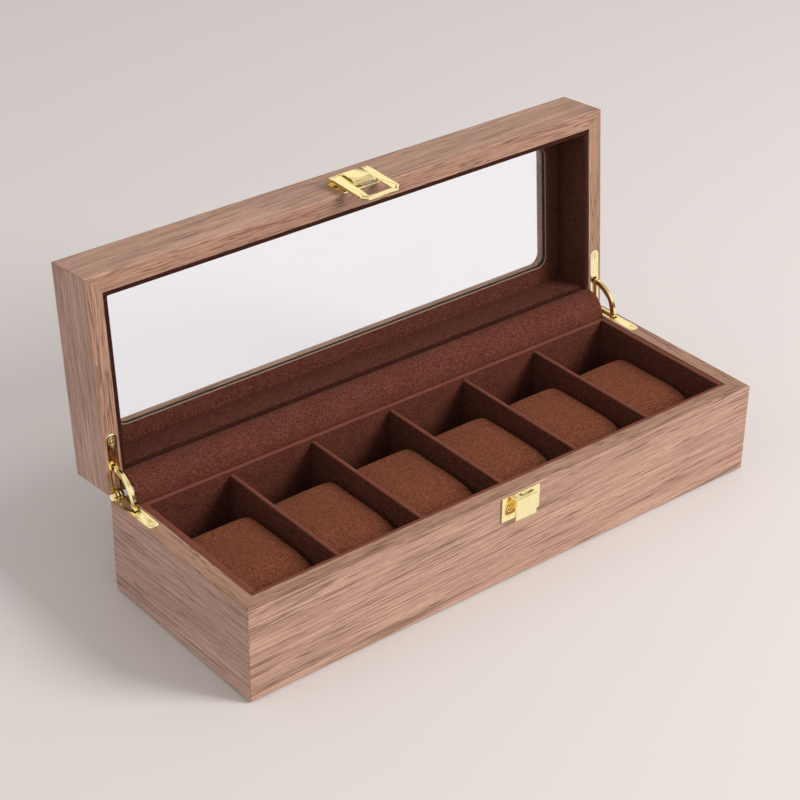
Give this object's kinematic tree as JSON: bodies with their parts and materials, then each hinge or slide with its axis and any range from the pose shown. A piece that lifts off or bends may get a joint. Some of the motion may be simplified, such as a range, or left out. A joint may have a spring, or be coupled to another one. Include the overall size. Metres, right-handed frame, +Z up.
{
  "type": "watch box",
  "caption": "Wooden watch box with a hinged glass-windowed lid, quadrant hinges, a hasp clasp and suede-covered slots with lift-out pillows.",
  "frame": {"origin": "centre of the base's underside, on the table", "axes": "+X along the box's length to the viewer's right, +Y from the front with its clasp to the back with its hinges, +Z up"},
  "size_m": [0.32, 0.156, 0.1699],
  "materials": {
    "walnut": "pinkish walnut veneer with a thin satin lacquer",
    "suede": "brown microsuede over board, in short nap",
    "pillow_suede": "brown microsuede over soft padding",
    "hinge_suede": "loose strip of brown microsuede",
    "brass": "bright polished brass plating",
    "spring_steel": "pale polished spring metal",
    "glass": "clear float glass",
    "black_felt": "black felt"
  },
  "bodies": {
    "base": {"base_front_wall": "walnut", "base_back_wall": "walnut", "base_left_wall": "walnut", "base_right_wall": "walnut", "base_bottom_panel": "walnut", "base_felt": "black_felt", "liner_front": "suede", "liner_back": "suede", "liner_left": "suede", "liner_right": "suede", "liner_floor": "suede", "divider_1": "suede", "divider_2": "suede", "divider_3": "suede", "divider_4": "suede", "divider_5": "suede", "hinge_base_leaf_left": "brass", "hinge_base_leaf_right": "brass", "hinge_pin_left": "brass", "hinge_pin_right": "brass", "hinge_base_screws": "brass", "keeper": "brass", "keeper_screws": "brass", "hinge_cloth": "hinge_suede"},
    "lid": {"lid_front_wall": "walnut", "lid_back_wall": "walnut", "lid_left_wall": "walnut", "lid_right_wall": "walnut", "lid_top_panel": "walnut", "lid_glass": "glass", "lid_window_frame": "suede", "lid_liner_front": "suede", "lid_liner_back": "suede", "lid_liner_left": "suede", "lid_liner_right": "suede", "hinge_lid_leaf_left": "brass", "hinge_lid_leaf_right": "brass", "hinge_lid_screws": "brass", "clasp_plate": "brass", "clasp_screws": "brass"},
    "clasp_pin": {"clasp_pin": "brass"},
    "hasp": {"hasp": "brass", "hasp_spring": "spring_steel"},
    "stay_left": {"stay_left": "brass"},
    "stay_right": {"stay_right": "brass"},
    "pillow_1": {"pillow_1": "pillow_suede"},
    "pillow_2": {"pillow_2": "pillow_suede"},
    "pillow_3": {"pillow_3": "pillow_suede"},
    "pillow_4": {"pillow_4": "pillow_suede"},
    "pillow_5": {"pillow_5": "pillow_suede"},
    "pillow_6": {"pillow_6": "pillow_suede"}
  },
  "joints": [
    {"name": "lid_hinge", "type": "hinge", "parent": "base", "child": "lid", "pos_m": [0, 0.0573, 0.0516], "axis": [-1, 0, 0], "range_deg": [-94.7, 0], "deforming": ["hinge_cloth"]},
    {"name": "stay_left_turn", "type": "hinge", "parent": "base", "child": "stay_left", "pos_m": [-0.1552, 0.0573, 0.0516], "axis": [-1, 0, 0], "range_deg": [-47.6, 0.2]},
    {"name": "stay_right_turn", "type": "hinge", "parent": "base", "child": "stay_right", "pos_m": [0.1552, 0.0573, 0.0516], "axis": [-1, 0, 0], "range_deg": [-47.6, 0.2]},
    {"name": "clasp_pin_turn", "type": "hinge", "parent": "lid", "child": "clasp_pin", "pos_m": [0, 0.07883, 0.16702], "axis": [-1, 0, 0], "range_deg": [-0.2, 12.2]},
    {"name": "hasp_swing", "type": "hinge", "parent": "clasp_pin", "child": "hasp", "pos_m": [0, 0.07883, 0.16702], "axis": [-1, 0, 0], "range_deg": [-5, 110]},
    {"name": "pillow_1_lift", "type": "slide", "parent": "base", "child": "pillow_1", "axis": [0, 0, 1], "range_m": [0, 0.05]},
    {"name": "pillow_2_lift", "type": "slide", "parent": "base", "child": "pillow_2", "axis": [0, 0, 1], "range_m": [0, 0.05]},
    {"name": "pillow_3_lift", "type": "slide", "parent": "base", "child": "pillow_3", "axis": [0, 0, 1], "range_m": [0, 0.05]},
    {"name": "pillow_4_lift", "type": "slide", "parent": "base", "child": "pillow_4", "axis": [0, 0, 1], "range_m": [0, 0.05]},
    {"name": "pillow_5_lift", "type": "slide", "parent": "base", "child": "pillow_5", "axis": [0, 0, 1], "range_m": [0, 0.05]},
    {"name": "pillow_6_lift", "type": "slide", "parent": "base", "child": "pillow_6", "axis": [0, 0, 1], "range_m": [0, 0.05]}
  ],
  "couplings": [
    {"joint": "stay_left_turn", "follows": "lid_hinge", "ratio": 0.5},
    {"joint": "stay_right_turn", "follows": "lid_hinge", "ratio": 0.5},
    {"joint": "clasp_pin_turn", "follows": "lid_hinge", "ratio": -0.12672}
  ]
}
